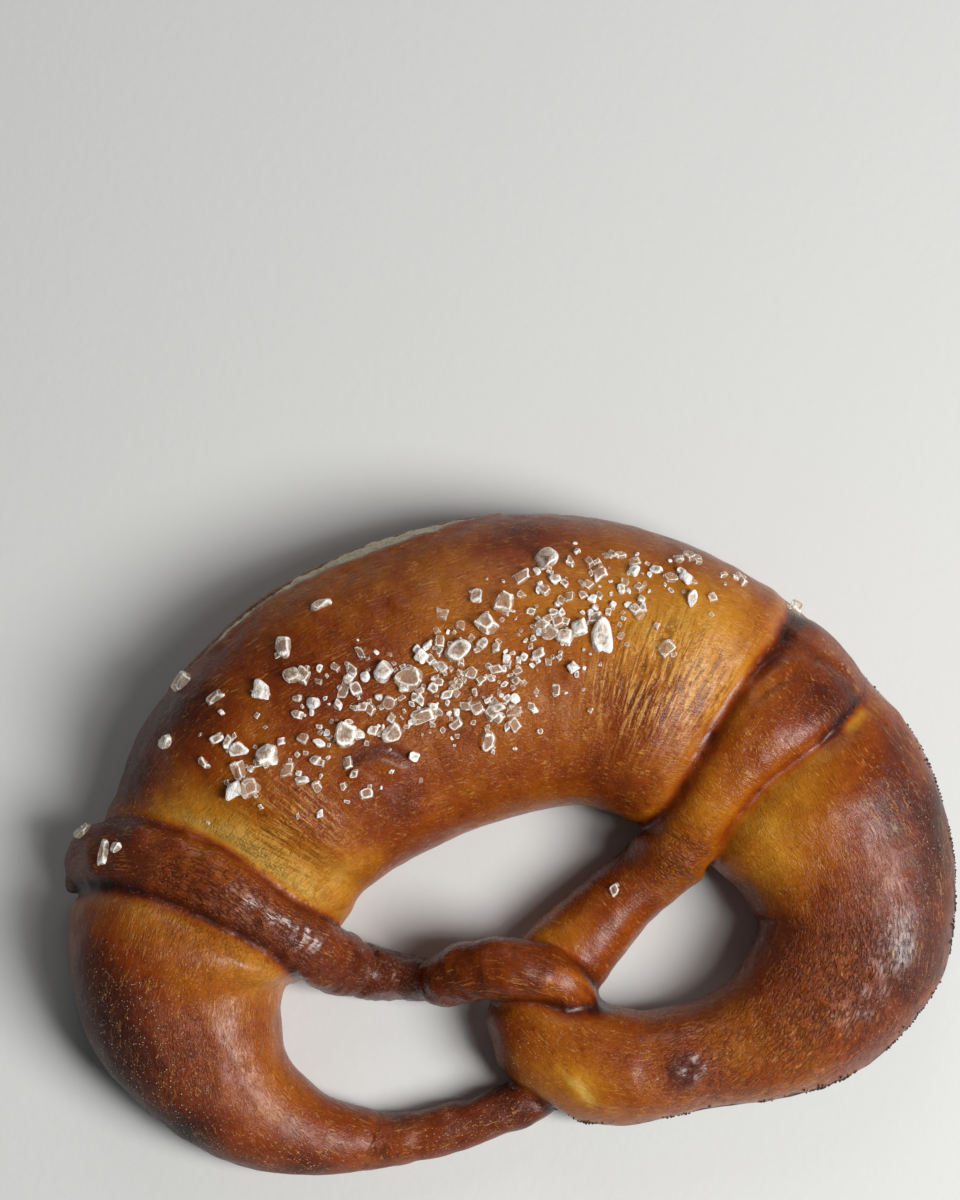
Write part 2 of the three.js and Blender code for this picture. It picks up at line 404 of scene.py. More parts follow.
class Stretch:
    """One stretch of the rope: its route, its rings of points and a closed surface through them."""

    def __init__(self, rows):
        knots = np.array(rows, float)
        route, sizes = knots[:, [0, 1, 4]], np.column_stack([knots[:, 2:4], np.zeros(len(knots))])
        spans = len(knots) - 1
        lengths = np.linalg.norm(np.diff(route, axis=0), axis=1)
        shares = [
            (span + np.arange(count) / count) / spans
            for span, count in enumerate(np.ceil(lengths / STEP).astype(int))
        ]
        share = np.append(np.concatenate(shares), 1.0)
        near = 1e-4
        self.middle = smooth_route(route, share)
        self.middle[:, 2] = np.maximum(self.middle[:, 2], 0)
        self.ahead = unit(smooth_route(route, share + near) - smooth_route(route, share - near))
        self.width, self.height, _ = smooth_route(sizes, share).T
        self.add_round_ends()
        steps = np.linalg.norm(np.diff(self.middle, axis=0), axis=1)
        self.travel = np.append(0, np.cumsum(steps))
        self.side = unit(np.column_stack([self.ahead[:, 1], -self.ahead[:, 0], 0 * self.width]))
        self.up = np.cross(self.side, self.ahead)
        self.outline = section()
        self.make_surface()

    def add_round_ends(self):
        turn = math.pi / 2 * np.arange(1, CAP_RINGS + 1) / (CAP_RINGS + 0.4)
        for end, way in ((0, -1), (-1, 1)):
            at, ahead = self.middle[end], self.ahead[end]
            width, height = self.width[end], self.height[end]
            reach = min(width, height) / 2 * way
            up = np.cross(unit(np.array([ahead[1], -ahead[0], 0])), ahead)
            shrink = np.cos(turn)
            middle = at + np.outer(reach * np.sin(turn), ahead)
            middle = middle + np.outer(height * SIDE_AT * (1 - shrink), up)
            parts = [
                (self.middle, middle),
                (self.ahead, np.tile(ahead, (CAP_RINGS, 1))),
                (self.width, width * shrink),
                (self.height, height * shrink),
            ]
            joined = [
                np.concatenate([cap[::-1], body] if way < 0 else [body, cap]) for body, cap in parts
            ]
            self.middle, self.ahead, self.width, self.height = joined

    def make_surface(self):
        across, up = self.outline.T
        count, rings = len(self.outline), len(self.middle)
        self.points = (
            self.middle[:, None]
            + self.side[:, None] * (self.width[:, None] * across)[..., None]
            + self.up[:, None] * (self.height[:, None] * up)[..., None]
        ).reshape(-1, 3)
        ring, spot = np.meshgrid(np.arange(rings - 1) * count, np.arange(count), indexing="ij")
        following = (spot + 1) % count
        sides = np.stack([ring + spot, ring + count + spot, ring + count + following, ring + following], -1)
        last = (rings - 1) * count
        ends = [list(range(count)), [last + i for i in reversed(range(count))]]
        self.faces = sides.reshape(-1, 4).tolist() + ends
        self.tree = BVHTree.FromPolygons(self.points.tolist(), self.faces)

    def gaps_to(self, points):
        """How far points lie from this stretch's surface, and which ring each is nearest to."""
        found = [self.tree.find_nearest(point) for point in points.tolist()]
        gap = np.array([hit[3] for hit in found])
        ring = np.minimum(np.array([hit[2] for hit in found]) // len(self.outline), len(self.middle) - 1)
        return gap, ring

    def travel_at(self, x, y):
        """How far along the stretch its middle passes closest to a place on the plan."""
        return self.travel[np.argmin(np.hypot(self.middle[:, 0] - x, self.middle[:, 1] - y))]


# ---------------------------------------------------------------------------------------------------
# Mesh helpers


def new_object(name, points, faces):
    mesh = bpy.data.meshes.new(name)
    mesh.from_pydata([tuple(p) for p in points], [], [tuple(f) for f in faces])
    thing = bpy.data.objects.new(name, mesh)
    bpy.context.scene.collection.objects.link(thing)
    return thing


def carry(mesh, name, values):
    """Lets a mesh carry a number at each point, for its finish to read."""
    mesh.attributes.new(name, "FLOAT", "POINT").data.foreach_set("value", values.astype(float))


def joined_skin(stretches, voxel):
    """One closed skin round all the stretches, as points and four-sided faces."""
    points, faces = [], []
    for stretch in stretches:
        start = sum(len(p) for p in points)
        points.append(stretch.points)
        faces += [[start + i for i in face] for face in stretch.faces]
    rough = new_object("rough_dough", np.concatenate(points), faces)
    remesh = rough.modifiers.new("skin", "REMESH")
    remesh.mode = "VOXEL"
    remesh.voxel_size = voxel
    graph = bpy.context.evaluated_depsgraph_get()
    skin = bpy.data.meshes.new_from_object(rough.evaluated_get(graph))
    found = np.empty(len(skin.vertices) * 3)
    skin.vertices.foreach_get("co", found)
    corners = np.empty(len(skin.loops), int)
    skin.loops.foreach_get("vertex_index", corners)
    bpy.data.objects.remove(rough)
    bpy.data.meshes.remove(skin)
    return found.reshape(-1, 3), corners.reshape(-1, 4)


def relax(points, faces, rounds, strength=0.5):
    """Lets each point drift towards the middle of its neighbours."""
    start = faces.ravel()
    following = np.roll(faces, -1, axis=1).ravel()
    count = np.bincount(start, minlength=len(points)) + np.bincount(following, minlength=len(points))
    for _ in range(rounds):
        total = np.stack(
            [
                np.bincount(start, points[following, i], len(points))
                + np.bincount(following, points[start, i], len(points))
                for i in range(points.shape[1])
            ],
            axis=1,
        )
        points = points + strength * (total / count[:, None] - points)
    return points


def outward(points, faces):
    """Each point's direction out of the dough."""
    a, b, c, d = (points[faces[:, i]] for i in range(4))
    normal = np.cross(c - a, d - b)
    total = np.zeros_like(points)
    for corner in range(4):
        for axis in range(3):
            total[:, axis] += np.bincount(faces[:, corner], normal[:, axis], len(points))
    return unit(total)


def waves(points, length, seed, count=16):
    """A smooth random field over points in millimetres, about -1 to 1, with ripples of a given length."""
    chance = np.random.default_rng(seed)
    heading = unit(chance.normal(size=(count, 3)))
    pitch = 2 * math.pi / (length * chance.uniform(0.7, 1.5, count))
    phase = chance.uniform(0, 2 * math.pi, count)
    return np.cos(points @ (heading * pitch[:, None]).T + phase).sum(axis=1) / math.sqrt(count / 2) / 1.6


def spots(points, table):
    """The sum of soft round spots, each given as x, y, reach and strength."""
    total = np.zeros(len(points))
    for x, y, reach, strength in table:
        away = np.hypot(points[:, 0] - x, points[:, 1] - y) / reach
        total += strength * bell(away)
    return total


def patches(points, table):
    """Soft round spots that run together without going above 1."""
    return np.clip(spots(points, table), 0, 1)


def from_line(points, line):
    """Distance on the plan from a line of places, the share of the way along it, and the side."""
    best = np.full(len(points), np.inf)
    share, side = np.zeros(len(points)), np.zeros(len(points))
    line = np.array(line, float)[:, :2]
    legs = len(line) - 1
    for leg, (start, stop) in enumerate(zip(line[:-1], line[1:])):
        run = stop - start
        offset = points[:, :2] - start
        part = np.clip(offset @ run / (run @ run), 0, 1)
        away = np.linalg.norm(offset - part[:, None] * run, axis=1)
        nearer = away < best
        best = np.where(nearer, away, best)
        share = np.where(nearer, (leg + part) / legs, share)
        side = np.where(nearer, np.sign(run[0] * offset[:, 1] - run[1] * offset[:, 0]), side)
    return best, share, side


# ---------------------------------------------------------------------------------------------------
# Shaping the dough


class Dough:
    """The skin of the whole pretzel, with what the sculpting and the browning need to know of it."""

    RING, RIGHT, LEFT = range(3)
    USUAL_BAKE = (0.52, 0.57, 0.72)  # how dark each of the three is, before its spots

    def __init__(self, voxel):
        self.ring = Stretch(RING)
        self.right = Stretch(RIGHT_ARM)
        self.end = Stretch(RIGHT_END)
        self.left = Stretch(LEFT_ARM)
        stretches = [self.ring, self.right, self.end, self.left]
        self.points, self.faces = joined_skin(stretches, voxel)
        self.points = relax(self.points, self.faces, 3)
        self.normals = outward(self.points, self.faces)
        self.find_places(stretches)

    def find_places(self, stretches):
        """Where each point is on the rope: its stretch, how far along, across and up."""
        gaps, rings = zip(*(stretch.gaps_to(self.points) for stretch in stretches))
        owner = np.argmin(gaps, axis=0)
        self.part = np.array([self.RING, self.RIGHT, self.RIGHT, self.LEFT])[owner]
        self.on_end = owner == 2
        to_part = np.stack([gaps[0], np.minimum(gaps[1], gaps[2]), gaps[3]])
        # The share of each stretch in a point, blended where two stretches meet.
        masks = np.stack([self.part == number for number in range(3)], axis=1) * 1.0
        masks = relax(np.column_stack([masks, self.seam_distance(to_part)]), self.faces, 12)
        self.share = ease(0.3, 0.7, masks[:, :3])
        self.share /= self.share.sum(axis=1, keepdims=True)
        self.seam = masks[:, 3]
        # Where a point is on its own stretch, and half the width and the height of the rope there.
        self.along, self.across, self.rise, self.half, self.tall = np.zeros((5, len(self.points)))
        for number, (stretch, ring) in enumerate(zip(stretches, rings)):
            mine = owner == number
            ring = ring[mine]
            offset = self.points[mine] - stretch.middle[ring]
            self.along[mine] = stretch.travel[ring] + (offset * stretch.ahead[ring]).sum(axis=1)
            self.across[mine] = (offset * stretch.side[ring]).sum(axis=1)
            self.rise[mine] = (offset * stretch.up[ring]).sum(axis=1)
            self.half[mine] = stretch.width[ring] / 2
            self.tall[mine] = stretch.height[ring]
        # How far round the rope it is, measured over the skin.
        angle = np.arctan2(self.rise - self.tall * SIDE_AT, self.across)
        self.around = angle * (self.half + self.tall * (1 - SIDE_AT)) / 2

    def seam_distance(self, to_part):
        """Distance to the nearest line where two stretches meet. The bend and the left lobe's thin end run
        on into the arms as one rope, so they have no such line."""
        x, y = self.points[:, 0], self.points[:, 1]
        ordered = np.sort(to_part, axis=0)
        bend = (to_part[self.LEFT] == ordered[2]) & (x < 20)
        thin_end = (to_part[self.RIGHT] == ordered[2]) & (x < -15) & (y < -30)
        return np.where(bend | thin_end, ordered[2], ordered[1])

    def push(self, amount):
        """Moves each point out of the dough, or into it where the amount is below 0."""
        self.points = self.points + self.normals * amount[:, None]

    def above(self, low, high):
        """0 below one height over the table, 1 above another, and a smooth step between."""
        return ease(low, high, self.points[:, 2])

    def even_out_seams(self, rounds, width):
        """Evens out the skin close to the lines where stretches meet."""
        eased = relax(self.points, self.faces, rounds)
        self.points += (eased - self.points) * bell(self.seam, width)[:, None]

    def sculpt(self):
        """Gives the even rope its swellings, seams, folds and tears, and smooths their edges a little."""
        self.push(0.30 * waves(self.points, 26, 1) + 0.10 * waves(self.points, 9, 2))
        self.press_seams()
        self.normals = outward(self.points, self.faces)
        self.press_necks()
        self.fold_right_arm()
        self.open_tear()
        self.raise_blister()
        self.cut_scar()
        self.pinch_band_tip()
        self.points = relax(self.points, self.faces, 1, 0.4)
        self.even_out_seams(4, 1.5)
        self.normals = outward(self.points, self.faces)
        self.push(0.05 * waves(self.points, 3.5, 3))
        # Nothing goes below the table.
        self.points[:, 2] = np.maximum(self.points[:, 2], 0)

    def press_seams(self):
        """A sharp groove where stretches meet, and a swollen shoulder on each side of it."""
        self.even_out_seams(12, 2.0)
        self.normals = outward(self.points, self.faces)
        groove = -1.1 * bell(self.seam)
        shoulder = 0.38 * bell(self.seam - 3.4, 2.0)
        self.apart = 1 - patches(self.points, MERGED_SEAMS)
        swelling = shoulder * (0.45 + 0.55 * self.share[:, self.RING])
        self.push((groove + swelling) * self.above(1.5, 5) * self.apart)

    def press_necks(self):
        """Creases across the thin stretch of the left arm, with small wrinkles between them."""
        mine = self.share[:, self.LEFT] * (self.part == self.LEFT)
        wobble = 0.5 * waves(self.points, 6, 5)
        for x, y, depth, width in NECKS:
            near = (self.along - self.left.travel_at(x, y) + wobble) / width
            self.push(-depth * bell(near) * mine)
        # The thin stretch runs from the crown of the twist to where the arm climbs the lobe.
        start, stop = self.left.travel_at(-4.6, -21.0), self.left.travel_at(-37.8, -4.6)
        fade = 6
        thin = mine * ease(start - fade, start, self.along) * (1 - ease(stop, stop + fade, self.along))
        wrinkle_pitch = 1.9
        wrinkles = np.sin(2 * math.pi * (self.along + wobble) / wrinkle_pitch)
        self.push(thin * 0.14 * wrinkles * (0.6 + 0.4 * waves(self.points, 4, 6)))
        self.push(mine * 0.16 * waves(self.points, 5, 7))

    def fold_right_arm(self):
        """The fold across the right arm where it starts to climb, and the folds round its thick end."""
        mine = self.part == self.RIGHT
        away, _, side = from_line(self.points, ARM_FOLD)
        ridge = 0.35 * bell(away - 1.4 * (side < 0), 1.2) * (side < 0)
        hollow = -0.35 * bell(away - 1.0, 0.9) * (side > 0)
        self.push(np.where(mine & ~self.on_end, ridge + hollow, 0))
        arc, share, _ = from_line(self.points, THICK_END)
        inside = ease(0.02, 0.12, share) * (1 - ease(0.9, 0.99, share))
        self.push(-0.3 * bell(arc, 0.8) * inside * self.above(12, 15))
        dent, _, _ = from_line(self.points, END_DENT)
        self.push(-0.6 * bell(dent) * self.above(12, 15))

    def open_tear(self):
        """The seam torn open by the rising dough: a rough pale band between two lips."""
        # The upper lip stands where the skin is a given way in from the outline, seen from above.
        places = np.array(TEAR)
        reach = [self.ring.travel_at(x, y) for x, y in places[:, :2]]
        jitter = 0.3 * waves(self.points, 5, 11) + 0.2 * waves(self.points, 1.8, 12)
        inset = np.interp(self.along, reach, places[:, 2], left=-1, right=-1)
        share_in = np.clip(1 - np.maximum(inset, 0) / self.half, 0, 1)
        crown = (1 - share_in**FULLNESS) ** (1 / FULLNESS)
        lip = self.tall * (SIDE_AT + (1 - SIDE_AT) * crown)
        # The lower lip closes up to it at the two ends.
        outer = (self.part == self.RING) & (self.across < -0.5 * self.half)
        open_ends = ease(-0.2, 0.5, inset)
        low_lip = np.interp(self.along, reach, places[:, 3])
        foot = low_lip + (lip - low_lip) * (1 - open_ends) * 0.5
        within = np.minimum(lip - self.rise, self.rise - foot) + jitter
        self.tear = np.where(outer & (inset > -0.5), within, FAR_FROM_TEAR)
        # The crumb swells out rough between the lips, and the upper edge of the skin bulges.
        inside = ease(-0.4, 0.5, self.tear)
        rough = 0.35 * waves(self.points, 4, 13) + 0.2 * waves(self.points, 1.7, 14)
        swell = 0.7 * ease(0.6, 4, self.tear)
        lip_bulge = 0.35 * bell(self.tear + 1.0)
        self.push(inside * (-0.45 + swell + 0.6 * rough) + lip_bulge)

    def pinch_band_tip(self):
        """The point that the left arm's end was pinched into."""
        away = np.linalg.norm(self.points - np.array(BAND_TIP), axis=1)
        self.push(1.9 * bell(away, 1.5) * (self.part == self.LEFT))

    def from_blister(self):
        """How far each point is from the blister's middle, in shares of its reach."""
        x, y, reach = BLISTER
        return np.hypot(self.points[:, 0] - x, self.points[:, 1] - y) / reach

    def raise_blister(self):
        """A low crumpled dome with a sunken middle."""
        away = self.from_blister()
        dome = 0.40 * bell(away, power=4) - 0.30 * bell(away, 0.4)
        crumple = 0.30 * bell(away, power=4) * waves(self.points, 2.0, 21)
        self.push(np.where(self.points[:, 2] > 8, dome + crumple, 0))

    def cut_scar(self):
        """A short slit with one raised lip."""
        away, share, side = from_line(self.points, SCAR)
        high = self.points[:, 2] > 15
        taper = ease(0, 0.12, share) * (1 - ease(0.85, 1, share))
        slit = -0.7 * bell(away, 0.7)
        lip = 0.55 * bell(away - 1.5, 1.1) * (side < 0)
        self.scar = np.where(high, taper * bell(away, 1.6), 0)
        self.push(np.where(high, taper * (slit + lip), 0))

    def browning_and_seam_shade(self):
        """How dark the skin is at each point, from 0 (pale gold) to 1 (black), with painted shade in seams.
        """
        base = self.share @ np.array(self.USUAL_BAKE)
        # The stretch from the left lobe to the bend is lighter than the rest of the left arm.
        tail = (self.part == self.LEFT) * (1 - ease(-34, -30, self.points[:, 1]))
        base -= 0.12 * tail * (1 - ease(-26, -6, self.points[:, 0]))
        low = 1 - self.above(2, 13)
        bake = base + spots(self.points, BAKED_SPOTS) * (1 - 0.55 * self.share[:, self.LEFT])
        bake += 0.12 * low + 0.05 * waves(self.points, 14, 31) + 0.03 * waves(self.points, 5, 32)
        # A golden line beside each seam, and painted shade darkening the groove in it.
        golden_edge = bell(self.seam - 1.6, 1.5) * self.share[:, self.RING] * self.above(6, 12)
        bake -= 0.10 * golden_edge
        # Painted shade in the groove of each seam.
        bake += 0.80 * bell(self.seam, 0.85) * self.apart
        for part, line, width, amount in GOLD_MARKS:
            away, _, _ = from_line(self.points, line)
            bake -= amount * bell(away, width) * (self.part == part) * self.above(6, 9)
        return relax(bake[:, None], self.faces, 2)[:, 0]

    def scalded(self):
        """The blister and the scar, where the skin went dark red."""
        return bell(self.from_blister(), power=6) * (self.points[:, 2] > 8) + self.scar

    def hot_side(self):
        """How much each point faces the side of the tray that was hottest, under the right lobe."""
        facing = ease(-0.35, 0.25, self.normals[:, 0] * 0.85 - self.normals[:, 1] * 0.53)
        return facing * ease(-14, 2, self.points[:, 0]) * (1 - ease(-12, 12, self.points[:, 1]))

    def outer_flank(self):
        """The share of the way up the rope at each point, and whether it is on the ring's outer side."""
        return self.rise / np.maximum(self.tall, 1), (self.part == self.RING) & (self.across < 0)

    def charring(self):
        """How burnt the lower flank is: higher up and more so on the hot side."""
        up_the_side, outer = self.outer_flank()
        hot = self.hot_side() * outer
        ragged = 0.08 * waves(self.points, 5, 41) + 0.05 * waves(self.points, 1.8, 42)
        return (1 - ease(0.08, 0.42, up_the_side + ragged - 0.25 * hot)) * (0.38 + 0.52 * hot)

    def hot_rim(self):
        """Where burnt crumbs stick: near the widest line of the hot side, in patches."""
        up_the_side, outer = self.outer_flank()
        rim = bell(up_the_side - 0.36, 0.14) * outer
        return rim * self.hot_side() * ease(-0.3, 0.5, waves(self.points, 10, 43))


# ---------------------------------------------------------------------------------------------------
# Writing finishes as sums


class Signal:
    """A number on its way through a finish, written with +, - and * like any other number."""

    def __init__(self, finish, socket):
        self.finish = finish
        self.socket = socket

    def math(self, operation, *values):
        return self.finish.node("ShaderNodeMath", {"operation": operation}, dict(enumerate(values)))

    def __add__(self, other):
        return self.math("ADD", self, other)

    def __sub__(self, other):
        return self.math("SUBTRACT", self, other)

    def __rsub__(self, other):
        return self.math("SUBTRACT", other, self)

    def __mul__(self, other):
        return self.math("MULTIPLY", self, other)

    __radd__ = __add__
    __rmul__ = __mul__

    def between(self, low, high):
        """0 below low, 1 above high, and a smooth step between."""
        settings = {"interpolation_type": "SMOOTHSTEP"}
        inputs = {"Value": self, "From Min": low, "From Max": high}
        return self.finish.node("ShaderNodeMapRange", settings, inputs)


class Finish:
    """One material, and the ways to add nodes to it."""

    def __init__(self, name):
        self.material = bpy.data.materials.new(name)
        self.material.use_nodes = True
        self.tree = self.material.node_tree
        self.tree.nodes.clear()

    def node(self, kind, settings=None, inputs=None, output=0):
        """Adds a node, sets it up, feeds its sockets and gives back one of its outputs."""
        node = self.tree.nodes.new(kind)
        for name, value in (settings or {}).items():
            if name == "stops":
                self.set_stops(node.color_ramp, value)
            else:
                setattr(node, name, value)
        for name, value in (inputs or {}).items():
            if isinstance(value, Signal):
                self.tree.links.new(value.socket, node.inputs[name])
            else:
                node.inputs[name].default_value = value
        return Signal(self, node.outputs[output])

    @staticmethod
    def set_stops(ramp, stops):
        while len(ramp.elements) < len(stops):
            ramp.elements.new(0.5)
        for element, (position, colour) in zip(ramp.elements, stops):
            element.position = position
            element.color = (*colour, 1)

    def attribute(self, name, output="Fac"):
        return self.node("ShaderNodeAttribute", {"attribute_name": name}, output=output)

    def here(self):
        """Where a place on the piece is, in millimetres."""
        return self.scaled(self.node("ShaderNodeTexCoord", output="Object"), (1 / MM,) * 3)

    def scaled(self, vector, scale):
        """A vector times three numbers."""
        return self.node("ShaderNodeVectorMath", {"operation": "MULTIPLY"}, {0: vector, 1: scale})

    def stirred(self, vector, scale, amount):
        """A vector pushed about by a soft random field, so that what follows it looks less regular."""
        inputs = {"Vector": vector, "Scale": scale, "Detail": 2.0}
        field = self.node("ShaderNodeTexNoise", None, inputs, "Color")
        inputs = {0: field, 1: (amount,) * 3, 2: vector}
        return self.node("ShaderNodeVectorMath", {"operation": "MULTIPLY_ADD"}, inputs)

    def noise(self, vector, scale, detail=3.0, roughness=0.55, warp=0.0):
        inputs = {"Vector": vector, "Scale": scale, "Detail": detail}
        inputs |= {"Roughness": roughness, "Distortion": warp}
        return self.node("ShaderNodeTexNoise", None, inputs)

    def cells(self, vector, scale, feature="F1", output="Distance"):
        inputs = {"Vector": vector, "Scale": scale}
        return self.node("ShaderNodeTexVoronoi", {"feature": feature}, inputs, output)

    def blend(self, first, second, share):
        """A colour between two colours."""
        first, second = (c if isinstance(c, Signal) else (*c, 1) for c in (first, second))
        return self.node("ShaderNodeMix", {"data_type": "RGBA"}, {0: share, 6: first, 7: second}, 2)

    def bump(self, height, distance):
        return self.node("ShaderNodeBump", None, {"Height": height, "Distance": distance, "Strength": 1.0})

    def surface(self, inputs):
        """Ends the finish with one surface, and gives back the material."""
        shader = self.node("ShaderNodeBsdfPrincipled", None, inputs)
        out = self.tree.nodes.new("ShaderNodeOutputMaterial")
        self.tree.links.new(shader.socket, out.inputs["Surface"])
        return self.material


# ---------------------------------------------------------------------------------------------------
# Finishes

# Baked skin from pale to burnt.
BAKED = [
    (0.00, (0.68, 0.38, 0.072)),
    (0.20, (0.52, 0.20, 0.012)),
    (0.40, (0.37, 0.100, 0.003)),
    (0.60, (0.23, 0.038, 0.0015)),
    (0.80, (0.095, 0.013, 0.002)),
    (1.00, (0.022, 0.007, 0.005)),
]
CRUMB_PALE = (1.0, 0.91, 0.69)
CRUMB_DEEP = (0.90, 0.72, 0.42)
CRUMB_EDGE = (0.30, 0.19, 0.06)
# Pale streaks, also used as painted highlight on the rib crests.
STREAK_AND_HIGHLIGHT = (0.62, 0.31, 0.065)
SCALD = (0.062, 0.014, 0.014)
# Painted shade in the cracks and troughs.
CRACK_SHADE = (0.045, 0.010, 0.003)
FLECK = (0.80, 0.60, 0.40)
CHAR = (0.026, 0.012, 0.007)
SALT_WHITE = (1.0, 0.97, 0.92)
SALT_DEEP = (0.90, 0.72, 0.52)


def browned_skin(gloss):
    """The lye-browned skin, the torn crumb and the burnt rim, all told apart by what the dough carries."""
    f = Finish("browned_skin")
    here = f.here()
    rope = f.attribute("rope", "Vector")
    bake, tear, char = f.attribute("bake"), f.attribute("tear"), f.attribute("char")
    fleck_field, ribs, leather = f.attribute("flecks"), f.attribute("ribs"), f.attribute("leather")
    loose = 1 - f.attribute("calm")

    blotches = f.noise(here, 0.16, 3)
    mottle = f.noise(here, 0.75, 4)
    grain = f.noise(here, 3.2, 3, 0.6)
    freckles = f.cells(here, 0.42).between(0.30, 0.10) * f.noise(here, 0.2, 1).between(0.5, 0.62)
    # The skin's darkness also carries painted shade in the seams.
    tone = bake + (blotches - 0.5) * 0.24 + (mottle - 0.5) * 0.22 + (grain - 0.5) * 0.16 + freckles * 0.10

    # Fine pale wrinkles that run along the rope, a millimetre or three long.
    drawn = f.scaled(rope, (0.42, 1.9, 1.0))
    wander = f.noise(rope, 0.25, 2)
    wrinkles = f.noise(drawn, 1.35, 2, 0.55, 1.3)
    streaks = wrinkles.between(0.585, 0.65) * wander.between(0.38, 0.60) * loose * (1 - bake * 0.45)
    # Painted shade in the troughs between the wrinkles.
    trough_shade = wrinkles.between(0.46, 0.36) * loose
    # Thin cracks between long scales of skin, sunk in and darkened with painted shade.
    scales = f.stirred(f.scaled(rope, (0.48, 1.12, 1.0)), 0.9, 1.5)
    cracks = f.cells(scales, 1.15, "DISTANCE_TO_EDGE").between(0.17, 0.05)
    cracks = cracks * f.noise(here, 0.55, 2).between(0.36, 0.52)
    cracks_and_shade = cracks * loose * (leather * 0.85 + 0.15)
    # Ridges across the rope, packed close.
    crossing = f.scaled(rope, (1.0, 0.12, 1.0))
    ridge = f.noise(crossing, 1.25, 2, 0.6, 0.3)
    rib_mask = ribs * f.noise(here, 0.8, 2).between(0.25, 0.5) * loose
    # Bran and pale dust.
    dots = f.cells(here, 1.25).between(0.20, 0.10) * f.cells(here, 1.25, output="Color").between(0.35, 0.55)
    dust = f.cells(here, 2.2).between(0.26, 0.12) * f.noise(here, 0.9, 2).between(0.46, 0.56)
    specks = dots * (0.16 + 0.84 * fleck_field) + dust * fleck_field

    skin = f.node("ShaderNodeValToRGB", {"stops": BAKED}, {"Fac": tone})
    # Painted highlight on the crests of the ridges and painted shade in their troughs.
    rib_crest_highlight, rib_trough_shade = rib_mask * ridge.between(0.50, 0.60), rib_mask * ridge.between(0.48, 0.40)
    # Pale streaks, and painted highlight on the rib crests, in one colour.
    skin = f.blend(skin, STREAK_AND_HIGHLIGHT, streaks * 0.62 + rib_crest_highlight * 0.8)
    # Painted shade in the cracks, the wrinkle troughs and the rib troughs.
    skin = f.blend(skin, CRACK_SHADE, cracks_and_shade * 0.55 + trough_shade * 0.14 + rib_trough_shade * 0.45)
    skin = f.blend(skin, SCALD, f.attribute("scald") * (0.75 + 0.5 * (mottle - 0.5)))
    skin = f.blend(skin, FLECK, specks * 0.75)
    burnt = (char + (mottle - 0.5) * 0.8 + (grain - 0.5) * 0.6).between(0.25, 0.95)
    skin = f.blend(skin, CHAR, burnt * (1 - specks * 0.6))

    # The torn crumb, with bubbles, browned along its edge.
    ragged = tear + (f.noise(here, 1.5, 3) - 0.5) * 1.2
    open_crumb = ragged.between(-0.15, 0.15)
    holes = f.cells(here, 0.9).between(0.1, 0.5)
    crumb = f.blend(CRUMB_DEEP, CRUMB_PALE, holes * 0.5 + f.noise(here, 0.5, 4) * 0.7)
    crumb = f.blend(CRUMB_EDGE, crumb, ragged.between(0.05, 0.7))
    colour = f.blend(skin, crumb, open_crumb)

    # What stands up from the skin, in shares of the bump's distance.
    folded = f.scaled(rope, (0.60, 1.15, 1.0))
    crumple = f.noise(folded, 1.3, 3, 0.6, 0.9)
    off_middle = crumple - 0.5
    creases = (off_middle * off_middle).between(0.0, 0.004)
    pores = f.noise(here, 5.0, 2, 0.6)
    height = (
        wrinkles * (0.26 + 0.26 * leather) * loose
        + mottle * 0.08
        + pores * 0.03
        + (leather * 0.8 + 0.2) * loose * (crumple * 0.55 + creases * 0.15)
        - cracks_and_shade * 0.5
        + rib_mask * ridge * 0.8
        + specks * 0.25
        + open_crumb * (f.noise(here, 1.4, 4, 0.65) * 3.0 + holes * 0.8)
        + burnt * grain * 1.2
    )
    relief = f.bump(height, 0.35 * MM)
    # The glaze breaks up in wrinkles and cracks, and is gone where the skin is torn, burnt or dusty.
    sheen_loss = (mottle - 0.5) * 0.15 + specks * 0.2
    shine = (0.16 + 1.05 * leather) * wrinkles.between(0.36, 0.50)
    shine = shine * (1 - cracks_and_shade) * (1 - fleck_field * 0.7) * loose
    glaze = shine * (1 - open_crumb) * (1 - burnt) * (1 - specks) * gloss
    roughness = (0.54 - 0.32 * gloss) + sheen_loss + fleck_field * 0.22 + open_crumb * 0.5 + burnt * 0.35
    return f.surface(
        {
            "Base Color": colour,
            "Roughness": roughness,
            "IOR": 1.36,
            "Normal": relief,
            "Coat Weight": glaze,
            "Coat Roughness": 0.25,
            "Coat IOR": 1.5,
        }
    )


def salt_grain_finish(whiteness):
    """Frosted salt: white at its worn edges, half clear on its faces."""
    f = Finish("coarse_salt")
    here = f.here()
    frost = f.attribute("frost") + (f.noise(here, 1.6, 3) - 0.5) * 0.9 + (whiteness - 0.5)
    relief = f.bump(f.noise(here, 2.6, 3, 0.6), 0.25 * MM)
    cover = frost.between(0.2, 0.85)
    return f.surface(
        {
            "Base Color": f.blend(SALT_DEEP, SALT_WHITE, cover),
            "Roughness": 0.28 + 0.2 * cover,
            "IOR": 1.5,
            "Alpha": 0.24 + 0.76 * cover,
            "Normal": relief,
        }
    )


def burnt_crumb_finish(colour):
    """Matt and nearly black, with a few browner patches."""
    f = Finish("burnt_crumb")
    here = f.here()
    patches = f.noise(here, 1.2, 3)
    tint = f.blend(colour, STREAK_AND_HIGHLIGHT, patches.between(0.62, 0.72) * 0.35)
    relief = f.bump(f.noise(here, 3.0, 3), 0.2 * MM)
    return f.surface({"Base Color": tint, "Roughness": 0.6, "Normal": relief})


